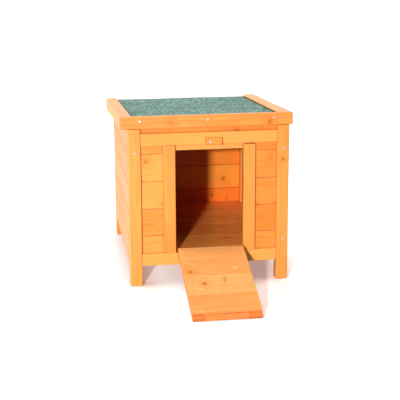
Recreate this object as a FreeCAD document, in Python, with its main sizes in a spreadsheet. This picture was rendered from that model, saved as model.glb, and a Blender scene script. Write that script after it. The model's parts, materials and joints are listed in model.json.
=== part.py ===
import FreeCAD, Part
import os

# A small wooden cat house on four legs, with a flat roof that lifts like a lid and a door that
# folds down as a ramp. The front faces -Y, +Z is up and the legs stand on Z = 0.

# Driving dimensions, in millimetres and degrees.
DIMENSIONS = {
    # House
    "body_width": 400,
    "body_depth": 487,
    "front_height": 400,
    "roof_slope": 4.5,
    "post_side": 30,
    "rear_post_width": 38,
    "leg_height": 52,
    # Boards with a tongue on the upper edge and a groove in the lower one
    "board_thick": 10,
    "tongue_long": 5,
    "tongue_thick": 3,
    "rebate_width": 12,
    "slot_depth": 8,
    "front_board_rise": 5,
    # Rails and stiles on the front
    "frame_thick": 10,
    "rail_height": 30,
    "stile_width": 30,
    "stile_top_gap": 3.5,
    "upper_rail_drop": 12,
    "opening_width": 170,
    "stop_height": 15,
    # Floor
    "floor_thick": 10,
    "bearer_width": 20,
    # Roof lid
    "lid_over_left": 19,
    "lid_over_right": 5.5,
    "lid_over_front": 12,
    "lid_over_rear": 8,
    "lid_height": 30,
    "lid_rail_width": 29,
    "fascia_thick": 18,
    "rear_rail_width": 24,
    "panel_thick": 9,
    "panel_slot": 9,
    "felt_thick": 2.5,
    "felt_recess": 4.5,
    # Ramp door
    "ramp_side_gap": 2.5,
    "ramp_low_gap": 1.5,
    "ramp_top_gap": 2,
    "ramp_frame_thick": 9.5,
    "ramp_stile_width": 30,
    "ramp_rail_height": 30,
    "ramp_first_board": 50,
    "ramp_board_share": 0.345,
    "ramp_board_gap": 1,
    "ramp_floor_gap": 0.3,
    # Hinges
    "hinge_length": 40,
    "hinge_drop": 3,
    "leaf_width": 16,
    "leaf_thick": 1.2,
    "knuckle_radius": 2.5,
    "middle_knuckle": 16,
    "pin_radius": 1.25,
    "ramp_hinge_inset": 12.5,
    "lid_hinge_inset": 70,
    # Turn button
    "button_lift": 8,
    "button_long": 30.5,
    "button_short": 10.5,
    "button_half": 9,
    "button_thick": 9,
    "button_screw_radius": 2,
    "button_screw_long": 26,
    # Wood screws
    "screw_radius": 1.5,
    "screw_long": 20,
    "head_radius": 3.2,
    "head_thick": 1.2,
    "low_screw_rise": 26,
    "high_screw_drop": 17,
    "lid_screw_inset": 47,
    # Clearances: beside wood and moving leaves, and around pins and screws
    "wood_gap": 0.3,
    "pin_gap": 0.05,
}
SIDE_COURSES = 5
SHORT_COURSES = 3
RAMP_COURSES = 4
FLOOR_BOARDS = 4

doc = FreeCAD.newDocument("CatHouse")
sheet = doc.addObject("Spreadsheet::Sheet", "Dims")
for row, (alias, value) in enumerate(DIMENSIONS.items(), 1):
    sheet.set(f"A{row}", str(value))
    sheet.setAlias(f"A{row}", alias)
doc.recompute()

# Places worked out from the driving dimensions, measured from the middle of the front posts' faces.
HALF = "(Dims.body_width / 2)"
POST_INNER = "(Dims.body_width / 2 - Dims.post_side)"
BOARD_INNER = "(Dims.body_width / 2 - Dims.board_thick)"
REAR_INNER = "(Dims.body_depth - Dims.board_thick)"
SIDE_START = "(Dims.post_side - Dims.rebate_width)"
REAR_END = "(Dims.body_width / 2 - Dims.rear_post_width + Dims.rebate_width)"
SLOT_END = "(Dims.body_width / 2 - Dims.post_side + Dims.slot_depth)"
FRONT_BACK = "(Dims.frame_thick + Dims.board_thick)"
SILL = "(Dims.leg_height + Dims.rail_height)"
RAIL_TOP = "(Dims.front_height - Dims.upper_rail_drop)"
RAIL_LOW = f"({RAIL_TOP} - Dims.rail_height)"
COVER = f"((Dims.front_height - Dims.leg_height) / {SIDE_COURSES})"
FRONT_START = "(Dims.leg_height + Dims.front_board_rise)"
BUTTON_Z = f"({RAIL_LOW} + Dims.button_lift)"
OPENING_TOP = f"({RAIL_LOW} - Dims.stop_height)"
OPENING_HALF = "(Dims.opening_width / 2)"

# The ramp turns on a line in front of the bottom rail. Its own frame has that line as origin and is
# upright when the door is shut.
STAND = "(Dims.knuckle_radius + Dims.wood_gap)"
AXIS_Z = f"({SILL} - Dims.hinge_drop)"
RAMP_LOW = "(Dims.hinge_drop + Dims.ramp_low_gap)"
RAMP_HEIGHT = f"({RAIL_LOW} - Dims.ramp_top_gap - {SILL} - Dims.ramp_low_gap)"
RAMP_END = f"({RAMP_LOW} + {RAMP_HEIGHT})"
RAMP_HALF = f"({OPENING_HALF} - Dims.ramp_side_gap)"
RAMP_BACK = f"({STAND} + Dims.ramp_frame_thick)"
RAMP_DROP = f"({AXIS_Z} - Dims.ramp_floor_gap)"
RAMP_SWING = f"(atan2({STAND}; {RAMP_END}) + acos(-{RAMP_DROP} / hypot({RAMP_END}; {STAND})))"
RAMP_TURN = f"({RAMP_SWING} / (1 deg))"

# The lid's own frame starts on its underside above the front posts and leans with the roof.
LID_GAP = "(Dims.leaf_thick + 2 * Dims.wood_gap)"
LID_Z = f"(Dims.front_height + {LID_GAP} / cos(Dims.roof_slope))"
LID_LEFT = "(-Dims.body_width / 2 - Dims.lid_over_left)"
LID_WIDTH = "(Dims.body_width + Dims.lid_over_left + Dims.lid_over_right)"
LID_END = "((Dims.body_depth + Dims.lid_over_rear) / cos(Dims.roof_slope))"
FASCIA_BACK = "(Dims.fascia_thick - Dims.lid_over_front)"
PANEL_TOP = "(Dims.lid_height - Dims.felt_recess - Dims.felt_thick)"
PANEL_LOW = f"({PANEL_TOP} - Dims.panel_thick)"

# The part's origin is the middle of its outline on the floor, with the ramp down.
RAMP_REACH = f"({STAND} - {RAMP_BACK} * cos({RAMP_TURN}) + {RAMP_END} * sin({RAMP_TURN}))"
LID_REACH = "(Dims.body_depth + Dims.lid_over_rear + Dims.lid_height * sin(Dims.roof_slope))"
MID_X = "((Dims.lid_over_left - Dims.lid_over_right) / 2)"
MID_Y = f"(({RAMP_REACH} - {LID_REACH}) / 2)"

# Frames: the origin's x, y and z, and the lean about X.
LOCAL = ("0", "0", "0", "0")
HOUSE = (MID_X, MID_Y, "0", "0")
RAMP = (MID_X, f"({MID_Y} - {STAND})", AXIS_Z, RAMP_TURN)
LID = (MID_X, MID_Y, LID_Z, "(-Dims.roof_slope)")

UP_X = FreeCAD.Vector(1, 0, 0)
UP_Y = FreeCAD.Vector(0, 1, 0)
UP_Z = FreeCAD.Vector(0, 0, 1)
nodes = []


def place(item, frame, x="0", y="0", z="0", tip="0"):
    """Put an item at a point of a frame, tipped about X with the frame's lean."""
    item.Placement = FreeCAD.Placement(FreeCAD.Vector(), FreeCAD.Rotation(UP_X, 1))
    set_base(item, frame, x, y, z)
    item.setExpression("Placement.Rotation.Angle", f"{frame[3]} + {tip}")
    return item


def set_base(item, frame, x, y, z):
    """Bind an item's position to a point of a frame."""
    origin_x, origin_y, origin_z, lean = frame
    item.setExpression("Placement.Base.x", f"{origin_x} + {x}")
    item.setExpression("Placement.Base.y", f"{origin_y} + {y} * cos({lean}) - {z} * sin({lean})")
    item.setExpression("Placement.Base.z", f"{origin_z} + {y} * sin({lean}) + {z} * cos({lean})")


def box(name, frame, start, end):
    """A block from its low corner to its high corner, both in the frame."""
    item = doc.addObject("Part::Box", name)
    for size, low, high in zip(("Length", "Width", "Height"), start, end):
        item.setExpression(size, f"{high} - ({low})")
    return place(item, frame, *(f"({value})" for value in start))


def rod(name, frame, radius, length, x, y, z):
    """A cylinder that runs rearwards from a point of the frame."""
    item = doc.addObject("Part::Cylinder", name)
    item.setExpression("Radius", radius)
    item.setExpression("Height", length)
    return place(item, frame, x, y, z, "-90")


def cross_rod(name, frame, radius, length, x, y, z):
    """A cylinder that runs to the right from a point of the frame."""
    item = doc.addObject("Part::Cylinder", name)
    item.setExpression("Radius", radius)
    item.setExpression("Height", length)
    item.Placement = FreeCAD.Placement(FreeCAD.Vector(), FreeCAD.Rotation(UP_Y, 90))
    set_base(item, frame, x, y, z)
    return item


def fuse(name, items):
    """One tool or blank from several."""
    item = doc.addObject("Part::MultiFuse", name)
    item.Shapes = items
    return item


def cut(name, frame, blank, tools):
    """A blank less its tools, all made in the frame's own coordinates."""
    item = doc.addObject("Part::Cut", name)
    item.Base = blank
    item.Tool = tools[0] if len(tools) == 1 else fuse(f"{name}_tools", tools)
    return place(item, frame)


def group(name, frame, items):
    """Several equal solids as one sub-part."""
    item = doc.addObject("Part::Compound", name)
    item.Links = items
    return place(item, frame)


def keep(item):
    """Mark an item as a sub-part that gets a file."""
    item.Label = item.Name
    nodes.append(item)
    return item


def board(name, frame, along, run, face, low, high, tongue=True, groove=True, tools=()):
    """A board that runs along x or y, with its tongue and groove."""
    inset = "(Dims.board_thick - Dims.tongue_thick) / 2"
    spans = {
        "plank": ("0", "Dims.board_thick", low, high),
        "tongue": (inset, f"{inset} + Dims.tongue_thick", high, f"{high} + Dims.tongue_long"),
        "groove": (f"{inset} - Dims.wood_gap", f"{inset} + Dims.tongue_thick + Dims.wood_gap",
                   low, f"{low} + Dims.tongue_long + Dims.wood_gap"),
    }
    made = {}
    for piece, (near, far, bottom, top) in spans.items():
        across = (f"{face} + {near}", f"{face} + {far}")
        pairs = (run, across) if along == "x" else (across, run)
        corners = zip(*pairs, (bottom, top))
        if (piece, tongue) != ("tongue", False) and (piece, groove) != ("groove", False):
            made[piece] = box(f"{name}_{piece}", LOCAL, *corners)
    blank = fuse(f"{name}_blank", [made["plank"], made["tongue"]]) if tongue else made["plank"]
    cutters = list(tools) + ([made["groove"]] if groove else [])
    if cutters:
        return keep(cut(name, frame, blank, cutters))
    return keep(group(name, frame, [blank]))


def screw(name, frame, x, y, z, radius, length):
    """A wood screw with a round head, driven rearwards from a face."""
    shank = rod(f"{name}_shank", frame, radius, length, x, y, z)
    head_y = f"({y} - Dims.head_thick)"
    head = rod(f"{name}_head", frame, "Dims.head_radius", "Dims.head_thick", x, head_y, z)
    return fuse(name, [shank, head])


def screw_hole(name, x, y, z, radius, length):
    """The hole that takes a screw's shank."""
    return rod(name, LOCAL, f"{radius} + Dims.pin_gap", f"{length} + Dims.wood_gap", x, y, z)


# Everything above the sloped top of the walls and posts is cut away.
above_walls = box("above_walls", LOCAL,
                  ("-Dims.body_width", "-Dims.post_side", "0"),
                  ("Dims.body_width", "Dims.body_depth + 2 * Dims.post_side", "Dims.front_height"))
place(above_walls, ("0", "0", "Dims.front_height", "(-Dims.roof_slope)"),
      "(-Dims.body_width)", "(-Dims.post_side)", "0")

# Spaces that the boards fill in the posts: rebates for the side and rear boards, a slot in front.
ABOVE = "(2 * Dims.front_height)"
left_space = box("left_space", LOCAL,
                 (f"-{HALF} - Dims.post_side", SIDE_START, "Dims.leg_height"),
                 (f"-{BOARD_INNER}", f"Dims.body_depth - {SIDE_START}", ABOVE))
right_space = box("right_space", LOCAL,
                  (BOARD_INNER, SIDE_START, "Dims.leg_height"),
                  (f"{HALF} + Dims.post_side", f"Dims.body_depth - {SIDE_START}", ABOVE))
rear_space = box("rear_space", LOCAL,
                 (f"-{REAR_END}", REAR_INNER, "Dims.leg_height"),
                 (REAR_END, "Dims.body_depth + Dims.post_side", ABOVE))
front_space = box("front_space", LOCAL,
                  (f"-{SLOT_END}", "Dims.frame_thick", FRONT_START),
                  (SLOT_END, FRONT_BACK, ABOVE))

# Screws in the front faces of the posts.
SCREW_X = "(Dims.body_width / 2 - Dims.post_side / 2)"
SCREW_LEVELS = {"low": f"({SILL} + Dims.low_screw_rise)",
                "high": f"({RAIL_LOW} - Dims.high_screw_drop)"}
frame_screws = []
post_holes = {"left": [], "right": []}
for side, x in (("left", f"(-{SCREW_X})"), ("right", SCREW_X)):
    for level, z in SCREW_LEVELS.items():
        label = f"{side}_{level}_screw"
        frame_screws.append(screw(label, LOCAL, x, "0", z, "Dims.screw_radius", "Dims.screw_long"))
        hole = screw_hole(f"{label}_hole", x, "0", z, "Dims.screw_radius", "Dims.screw_long")
        post_holes[side].append(hole)
keep(group("frame_screws", HOUSE, frame_screws))

# Four corner posts, which also are the legs. The rear ones are wider.
post_blanks = {}
for side, wall_space in (("left", left_space), ("right", right_space)):
    for end, width, low_y in (("front", "Dims.post_side", "0"),
                              ("rear", "Dims.rear_post_width", "(Dims.body_depth - Dims.post_side)")):
        low_x = f"-{HALF}" if side == "left" else f"({HALF} - {width})"
        blank = box(f"post_{end}_{side}_blank", LOCAL, (low_x, low_y, "0"),
                    (f"{low_x} + {width}", f"{low_y} + Dims.post_side", "Dims.front_height"))
        post_blanks[end, side] = blank
        own = [front_space] + post_holes[side] if end == "front" else [rear_space]
        keep(cut(f"post_{end}_{side}", HOUSE, blank, [above_walls, wall_space] + own))

# Side and rear walls: level courses from the walls' lower edge up to the sloped top.
for course in range(1, SIDE_COURSES + 1):
    last = course == SIDE_COURSES
    low = f"(Dims.leg_height + {course - 1} * {COVER})"
    high = "Dims.front_height" if last else f"(Dims.leg_height + {course} * {COVER})"
    shape = dict(tongue=not last, groove=course > 1, tools=[above_walls] if last else [])
    side_run = (SIDE_START, f"Dims.body_depth - {SIDE_START}")
    board(f"left_board_{course}", HOUSE, "y", side_run, f"-{HALF}", low, high, **shape)
    board(f"right_board_{course}", HOUSE, "y", side_run, BOARD_INNER, low, high, **shape)
    rear_run = (f"-{REAR_END}", REAR_END)
    board(f"rear_board_{course}", HOUSE, "x", rear_run, REAR_INNER, low, high, **shape)

# Front wall: a low and a top board across the whole width, and short boards beside the doorway.
doorway = box("doorway", LOCAL, (f"-{OPENING_HALF}", "0", SILL),
              (OPENING_HALF, "Dims.body_depth", OPENING_TOP))
BUTTON_START = "(-Dims.button_thick - 2 * Dims.wood_gap)"
button_hole = screw_hole("button_hole", "0", BUTTON_START, BUTTON_Z,
                         "Dims.button_screw_radius", "Dims.button_screw_long")
full_run = (f"-{SLOT_END}", SLOT_END)
COURSES_LOW = f"({FRONT_START} + {COVER})"
COURSES_HIGH = f"({COURSES_LOW} + {SHORT_COURSES} * {COVER})"
board("front_board_low", HOUSE, "x", full_run, "Dims.frame_thick",
      FRONT_START, COURSES_LOW, groove=False, tools=[doorway])
board("front_board_top", HOUSE, "x", full_run, "Dims.frame_thick",
      COURSES_HIGH, "Dims.front_height", tongue=False, tools=[doorway, above_walls, button_hole])
for course in range(1, SHORT_COURSES + 1):
    low = f"({COURSES_LOW} + {course - 1} * {COVER})"
    high = f"({COURSES_LOW} + {course} * {COVER})"
    left_run = (f"-{SLOT_END}", f"-{OPENING_HALF}")
    board(f"front_board_left_{course}", HOUSE, "x", left_run, "Dims.frame_thick", low, high)
    right_run = (OPENING_HALF, SLOT_END)
    board(f"front_board_right_{course}", HOUSE, "x", right_run, "Dims.frame_thick", low, high)

# Rails and stiles on the front, level with the posts.
keep(box("front_bottom_rail", HOUSE, (f"-{POST_INNER}", "0", "Dims.leg_height"),
         (POST_INNER, "Dims.frame_thick", SILL)))
upper_rail = box("front_upper_rail_blank", LOCAL, (f"-{POST_INNER}", "0", RAIL_LOW),
                 (POST_INNER, "Dims.frame_thick", RAIL_TOP))
keep(cut("front_upper_rail", HOUSE, upper_rail, [button_hole]))
keep(box("front_stile_left", HOUSE, (f"-{OPENING_HALF} - Dims.stile_width", "0", SILL),
         (f"-{OPENING_HALF}", "Dims.frame_thick", RAIL_LOW)))
keep(box("front_stile_right", HOUSE, (OPENING_HALF, "0", SILL),
         (f"{OPENING_HALF} + Dims.stile_width", "Dims.frame_thick",
          f"{RAIL_LOW} - Dims.stile_top_gap")))

# Floor: boards across the house on two bearers, cut round the posts.
FLOOR_LOW = f"({SILL} - Dims.floor_thick)"
FLOOR_STEP = f"(({REAR_INNER} - {FRONT_BACK}) / {FLOOR_BOARDS})"
for number in range(1, FLOOR_BOARDS + 1):
    near = f"({FRONT_BACK} + {number - 1} * {FLOOR_STEP})"
    start = (f"-{BOARD_INNER}", near, FLOOR_LOW)
    end = (BOARD_INNER, f"{near} + {FLOOR_STEP}", SILL)
    beside = {1: "front", FLOOR_BOARDS: "rear"}.get(number)
    if beside:
        blank = box(f"floor_board_{number}_blank", LOCAL, start, end)
        corners = [post_blanks[beside, "left"], post_blanks[beside, "right"]]
        keep(cut(f"floor_board_{number}", HOUSE, blank, corners))
    else:
        keep(box(f"floor_board_{number}", HOUSE, start, end))
for side, low_x in (("left", f"-{BOARD_INNER}"), ("right", f"{BOARD_INNER} - Dims.bearer_width")):
    keep(box(f"floor_bearer_{side}", HOUSE, (low_x, "Dims.post_side", "Dims.leg_height"),
             (f"{low_x} + Dims.bearer_width", "Dims.body_depth - Dims.post_side", FLOOR_LOW)))

# Roof lid: a fascia and two rails hold the panel in grooves, a low rear rail carries its end and
# felt covers it.
LID_RIGHT = f"({LID_LEFT} + {LID_WIDTH})"
panel_start = (f"{LID_LEFT} + Dims.lid_rail_width - Dims.panel_slot",
               f"{FASCIA_BACK} - Dims.panel_slot", PANEL_LOW)
panel_end = (f"{LID_RIGHT} - Dims.lid_rail_width + Dims.panel_slot", LID_END, PANEL_TOP)
panel_space = box("panel_space", LOCAL, tuple(f"{value} - Dims.wood_gap" for value in panel_start),
                  tuple(f"{value} + Dims.wood_gap" for value in panel_end))
lid_screws = []
lid_holes = []
PANEL_MIDDLE = f"(({PANEL_LOW} + {PANEL_TOP}) / 2)"
LID_SCREWS = {"left": f"({LID_LEFT} + Dims.lid_screw_inset)",
              "middle": f"({LID_LEFT} + {LID_WIDTH} / 2)",
              "right": f"({LID_RIGHT} - Dims.lid_screw_inset)"}
for side, x in LID_SCREWS.items():
    label = f"lid_{side}_screw"
    front = "(-Dims.lid_over_front)"
    lid_screws.append(screw(label, LOCAL, x, front, PANEL_MIDDLE, "Dims.screw_radius", "Dims.screw_long"))
    hole = screw_hole(f"{label}_hole", x, front, PANEL_MIDDLE, "Dims.screw_radius", "Dims.screw_long")
    lid_holes.append(hole)
keep(group("lid_screws", LID, lid_screws))
fascia = box("lid_fascia_blank", LOCAL, (LID_LEFT, "-Dims.lid_over_front", "0"),
             (LID_RIGHT, FASCIA_BACK, "Dims.lid_height"))
keep(cut("lid_fascia", LID, fascia, [panel_space] + lid_holes))
for side, low_x in (("left", LID_LEFT), ("right", f"{LID_RIGHT} - Dims.lid_rail_width")):
    blank = box(f"lid_rail_{side}_blank", LOCAL, (low_x, FASCIA_BACK, "0"),
                (f"{low_x} + Dims.lid_rail_width", LID_END, "Dims.lid_height"))
    keep(cut(f"lid_rail_{side}", LID, blank, [panel_space]))
keep(box("lid_rail_rear", LID,
         (f"{LID_LEFT} + Dims.lid_rail_width", f"{LID_END} - Dims.rear_rail_width", "0"),
         (f"{LID_RIGHT} - Dims.lid_rail_width", LID_END, PANEL_LOW)))
panel = box("roof_panel_blank", LOCAL, panel_start, panel_end)
keep(cut("roof_panel", LID, panel, lid_holes))
keep(box("roof_felt", LID,
         (f"{LID_LEFT} + Dims.lid_rail_width + Dims.wood_gap", f"{FASCIA_BACK} + Dims.wood_gap", PANEL_TOP),
         (f"{LID_RIGHT} - Dims.lid_rail_width - Dims.wood_gap", LID_END, f"{PANEL_TOP} + Dims.felt_thick")))

# Ramp door: a frame of stiles and rails, with boards across it on the upper side.
for side, low_x in (("left", f"-{RAMP_HALF}"), ("right", f"{RAMP_HALF} - Dims.ramp_stile_width")):
    keep(box(f"ramp_stile_{side}", RAMP, (low_x, STAND, RAMP_LOW),
             (f"{low_x} + Dims.ramp_stile_width", RAMP_BACK, RAMP_END)))
RAMP_INNER = f"({RAMP_HALF} - Dims.ramp_stile_width)"
for end, low in (("hinge", RAMP_LOW), ("floor", f"({RAMP_END} - Dims.ramp_rail_height)")):
    keep(box(f"ramp_rail_{end}", RAMP, (f"-{RAMP_INNER}", STAND, low),
             (RAMP_INNER, RAMP_BACK, f"{low} + Dims.ramp_rail_height")))
RAMP_BOARDS_END = f"({OPENING_TOP} - Dims.ramp_board_gap - {AXIS_Z})"
RAMP_RUN = f"({RAMP_BOARDS_END} - {RAMP_LOW} - Dims.ramp_first_board)"
low = RAMP_LOW
for course in range(1, RAMP_COURSES + 1):
    last = course == RAMP_COURSES
    joint = f"({RAMP_LOW} + Dims.ramp_first_board + {course - 1} * Dims.ramp_board_share * {RAMP_RUN})"
    high = RAMP_BOARDS_END if last else joint
    board(f"ramp_board_{course}", RAMP, "x", (f"-{RAMP_HALF}", RAMP_HALF), RAMP_BACK, low, high,
          tongue=not last, groove=course > 1)
    low = high

# Butt hinges. A leaf is made with its pin along X, the wood behind it and the plate below or above.
KNUCKLE_SIDE = "((Dims.hinge_length - Dims.middle_knuckle) / 2)"
PLATE_NEAR = f"({STAND} - Dims.leaf_thick)"


def fixed_leaf(name):
    """A leaf that hangs below the pin and has the two outer knuckles."""
    plate = box(f"{name}_plate", LOCAL, ("0", PLATE_NEAR, "-Dims.leaf_width"),
                ("Dims.hinge_length", STAND, "0"))
    length = f"{KNUCKLE_SIDE} - Dims.wood_gap"
    far = f"(Dims.hinge_length - {KNUCKLE_SIDE} + Dims.wood_gap)"
    knuckles = [cross_rod(f"{name}_knuckle_{x_name}", LOCAL, "Dims.knuckle_radius", length, x, "0", "0")
                for x_name, x in (("near", "0"), ("far", far))]
    notch = box(f"{name}_notch", LOCAL, (f"{KNUCKLE_SIDE} - Dims.wood_gap", "0", f"-{STAND}"),
                (far, f"2 * {STAND}", STAND))
    return leaf(name, plate, knuckles, [notch])


def moving_leaf(name):
    """A leaf that stands above the pin and has the middle knuckle."""
    plate = box(f"{name}_plate", LOCAL, ("0", f"{PLATE_NEAR} - Dims.wood_gap", "0"),
                ("Dims.hinge_length", f"{STAND} - Dims.wood_gap", "Dims.leaf_width"))
    knuckle = cross_rod(f"{name}_knuckle", LOCAL, "Dims.knuckle_radius", "Dims.middle_knuckle",
                        KNUCKLE_SIDE, "0", "0")
    notches = [box(f"{name}_notch_{x_name}", LOCAL, (x, "0", f"-{STAND}"),
                   (f"{x} + {KNUCKLE_SIDE}", f"2 * {STAND}", STAND))
               for x_name, x in (("near", "0"), ("far", f"(Dims.hinge_length - {KNUCKLE_SIDE})"))]
    return leaf(name, plate, [knuckle], notches)


def leaf(name, plate, knuckles, notches):
    """A plate, notched beside the other leaf's knuckles, with its own knuckles and their bore."""
    notched = cut(f"{name}_notched", LOCAL, plate, notches)
    blank = fuse(f"{name}_blank", [notched] + knuckles)
    bore = cross_rod(f"{name}_bore", LOCAL, "Dims.pin_radius + Dims.pin_gap", "2 * Dims.hinge_length",
                     "(-Dims.hinge_length / 2)", "0", "0")
    return cut(name, LOCAL, blank, [bore])


def turn(item, x, y, z, first, second, third):
    """Stand a leaf at a point, with its own axes along three directions."""
    item.setExpression("Placement.Rotation.Angle", None)
    item.Placement = FreeCAD.Placement(FreeCAD.Vector(), FreeCAD.Rotation(first, second, third, "XYZ"))
    set_base(item, LOCAL, x, y, z)
    return item


# Two hinges under the ramp, on the bottom rail's front face.
RAMP_HINGES = {"left": f"(-{RAMP_HALF} + Dims.ramp_hinge_inset)",
               "right": f"({RAMP_HALF} - Dims.ramp_hinge_inset - Dims.hinge_length)"}
rail_leaves = []
ramp_leaves = []
pins = []
for side, x in RAMP_HINGES.items():
    rail_leaves.append(turn(fixed_leaf(f"rail_leaf_{side}"), x, f"(-{STAND})", AXIS_Z, UP_X, UP_Y, UP_Z))
    ramp_leaves.append(turn(moving_leaf(f"ramp_leaf_{side}"), x, "0", "0", UP_X, UP_Y, UP_Z))
    pins.append(cross_rod(f"ramp_pin_{side}", HOUSE, "Dims.pin_radius", "Dims.hinge_length",
                          x, f"(-{STAND})", AXIS_Z))
keep(group("ramp_hinge_fixed_leaves", HOUSE, rail_leaves))
keep(group("ramp_hinge_moving_leaves", RAMP, ramp_leaves))

# Two hinges on the right wall, under the lid's edge.
LID_AXIS_X = f"({HALF} + {STAND})"
wall_leaves = []
lid_leaves = []
LID_HINGES = {"front": "Dims.lid_hinge_inset",
              "rear": "(Dims.body_depth - Dims.lid_hinge_inset - Dims.hinge_length)"}
for end, near in LID_HINGES.items():
    far = f"({near} + Dims.hinge_length)"
    level = f"(-{STAND})"
    wall_leaves.append(turn(fixed_leaf(f"wall_leaf_{end}"), LID_AXIS_X, near, level, UP_Y, -UP_X, UP_Z))
    lid_leaves.append(turn(moving_leaf(f"lid_leaf_{end}"), LID_AXIS_X, far, level, -UP_Y, UP_Z, -UP_X))
    pins.append(rod(f"lid_pin_{end}", LID, "Dims.pin_radius", "Dims.hinge_length", LID_AXIS_X, near, level))
keep(group("lid_hinge_fixed_leaves", LID, wall_leaves))
keep(group("lid_hinge_moving_leaves", LID, lid_leaves))
keep(group("hinge_pins", LOCAL, pins))

# Turn button over the doorway, on a screw through the upper rail.
BUTTON_FRONT = "(-Dims.button_thick - Dims.wood_gap)"
button = box("turn_button_blank", LOCAL,
             ("-Dims.button_short", BUTTON_FRONT, f"{BUTTON_Z} - Dims.button_half"),
             ("Dims.button_long", "-Dims.wood_gap", f"{BUTTON_Z} + Dims.button_half"))
keep(cut("turn_button", HOUSE, button, [button_hole]))
button_screw = screw("button_screw_shape", LOCAL, "0", BUTTON_START, BUTTON_Z,
                     "Dims.button_screw_radius", "Dims.button_screw_long")
keep(group("button_screw", HOUSE, [button_screw]))

# Check every object and every sub-part, then write one file for each sub-part.
doc.recompute()
for item in doc.Objects:
    if "Invalid" in item.State or "Error" in item.State:
        raise RuntimeError(f"{item.Name} did not compute: {item.State}")
for item in nodes:
    if item.Shape.isNull() or not item.Shape.isValid() or not item.Shape.Solids:
        raise RuntimeError(f"{item.Label} has no valid solid")
os.makedirs("parts", exist_ok=True)
for item in nodes:
    item.Shape.exportStep(f"parts/{item.Label}.step")
print(len(nodes), "sub-parts written")
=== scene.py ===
import json
import math
from functools import partial
from itertools import count

import bmesh
import bpy
from mathutils import Matrix, Vector


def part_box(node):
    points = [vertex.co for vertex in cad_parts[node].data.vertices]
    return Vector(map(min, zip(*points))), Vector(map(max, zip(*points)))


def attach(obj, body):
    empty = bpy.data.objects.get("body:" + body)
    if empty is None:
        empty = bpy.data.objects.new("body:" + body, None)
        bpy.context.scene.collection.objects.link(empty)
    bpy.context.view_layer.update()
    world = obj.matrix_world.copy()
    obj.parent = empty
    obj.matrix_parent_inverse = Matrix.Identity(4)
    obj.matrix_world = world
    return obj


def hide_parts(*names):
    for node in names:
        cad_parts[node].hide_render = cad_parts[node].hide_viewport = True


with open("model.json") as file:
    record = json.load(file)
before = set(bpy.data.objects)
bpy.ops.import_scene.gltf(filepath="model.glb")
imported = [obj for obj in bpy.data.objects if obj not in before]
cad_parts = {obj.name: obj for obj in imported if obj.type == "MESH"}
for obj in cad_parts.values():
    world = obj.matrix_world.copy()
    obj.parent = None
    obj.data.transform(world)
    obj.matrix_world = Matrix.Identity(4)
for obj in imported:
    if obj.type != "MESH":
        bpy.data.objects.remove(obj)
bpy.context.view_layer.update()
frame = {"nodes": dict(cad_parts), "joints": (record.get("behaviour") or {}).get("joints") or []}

# Studio: a white floor that keeps the house's shadow, in a white world, with the camera where the
# photograph was taken from. A small low lamp in front on the left throws the shadows, a broad one
# hangs over the house, and weak ones fill the left, the right and the rear.
scene = bpy.context.scene
scene.view_settings.view_transform = "Standard"
CAMERA_SENSOR, CAMERA_LENS = 36.0, 100.662
CAMERA_PLACE = Vector((-0.40841, -2.76287, 0.93574))
CAMERA_YAW = math.radians(8.38955)
CAMERA_PITCH = math.radians(-15.01923)
CAMERA_ROLL = math.radians(-0.25064)


def add_object(name, data):
    """An object in the scene."""
    made = bpy.data.objects.new(name, data)
    scene.collection.objects.link(made)
    return made


camera_data = bpy.data.cameras.new("camera")
camera_data.sensor_width = CAMERA_SENSOR
camera_data.lens = CAMERA_LENS
camera = add_object("camera", camera_data)
scene.camera = camera
camera.matrix_world = (
    Matrix.Translation(CAMERA_PLACE)
    @ Matrix.Rotation(-CAMERA_YAW, 4, "Z")
    @ Matrix.Rotation(math.pi / 2 + CAMERA_PITCH, 4, "X")
    @ Matrix.Rotation(CAMERA_ROLL, 4, "Z")
)


def add_node(tree, kind, inputs=None, family="ShaderNode", **settings):
    """A node with its settings, and its inputs as values or as sockets to link from."""
    node = tree.nodes.new(family + kind)
    for name, value in settings.items():
        setattr(node, name, value)
    for key, value in (inputs or {}).items():
        if isinstance(value, bpy.types.NodeSocket):
            tree.links.new(value, node.inputs[key])
        else:
            node.inputs[key].default_value = value
    return node


def math_node(tree, operation, first, second=0.0, third=0.0):
    """The result of a sum of two values, or of three where the sum takes them."""
    values = {0: first, 1: second, 2: third}
    return add_node(tree, "Math", values, operation=operation).outputs[0]


def vector_node(tree, operation, first, second=(0.0, 0.0, 0.0)):
    """The result of a sum of two vectors."""
    sums = add_node(tree, "VectorMath", {0: first, 1: second}, operation=operation).outputs
    return sums["Value" if operation in ("LENGTH", "DISTANCE", "DOT_PRODUCT") else "Vector"]


def split(tree, kind, source):
    """The three parts of a colour or of a vector."""
    return add_node(tree, f"Separate{kind}", {0: source}).outputs


def ease(tree, value, start, end, low=0.0, high=1.0, way="SMOOTHSTEP"):
    """A step of a value, smooth or straight."""
    step = {"Value": value, "From Min": start, "From Max": end, "To Min": low, "To Max": high}
    return add_node(tree, "MapRange", step, interpolation_type=way).outputs["Result"]


def mix_colour(tree, share, first, second, blend="MIX"):
    """A colour between two others, which are sockets or plain colours."""
    inputs = {0: share}
    for key, colour in ((6, first), (7, second)):
        inputs[key] = colour if isinstance(colour, bpy.types.NodeSocket) else (*colour, 1.0)
    return add_node(tree, "Mix", inputs, data_type="RGBA", blend_type=blend).outputs[2]


def colour_ramp(tree, value, stops):
    """A colour by a value, from the colours at some shares of its way from 0 to 1."""
    ramp = add_node(tree, "ValToRGB", {0: value})
    elements = ramp.color_ramp.elements
    elements.remove(elements[1])
    elements[0].position = stops[0][0]
    elements[0].color = (*stops[0][1], 1.0)
    for share, colour in stops[1:]:
        elements.new(share).color = (*colour, 1.0)
    return ramp.outputs["Color"]


def own_place(tree):
    """Where a point lies on its piece."""
    return add_node(tree, "TexCoord").outputs["Object"]


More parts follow.
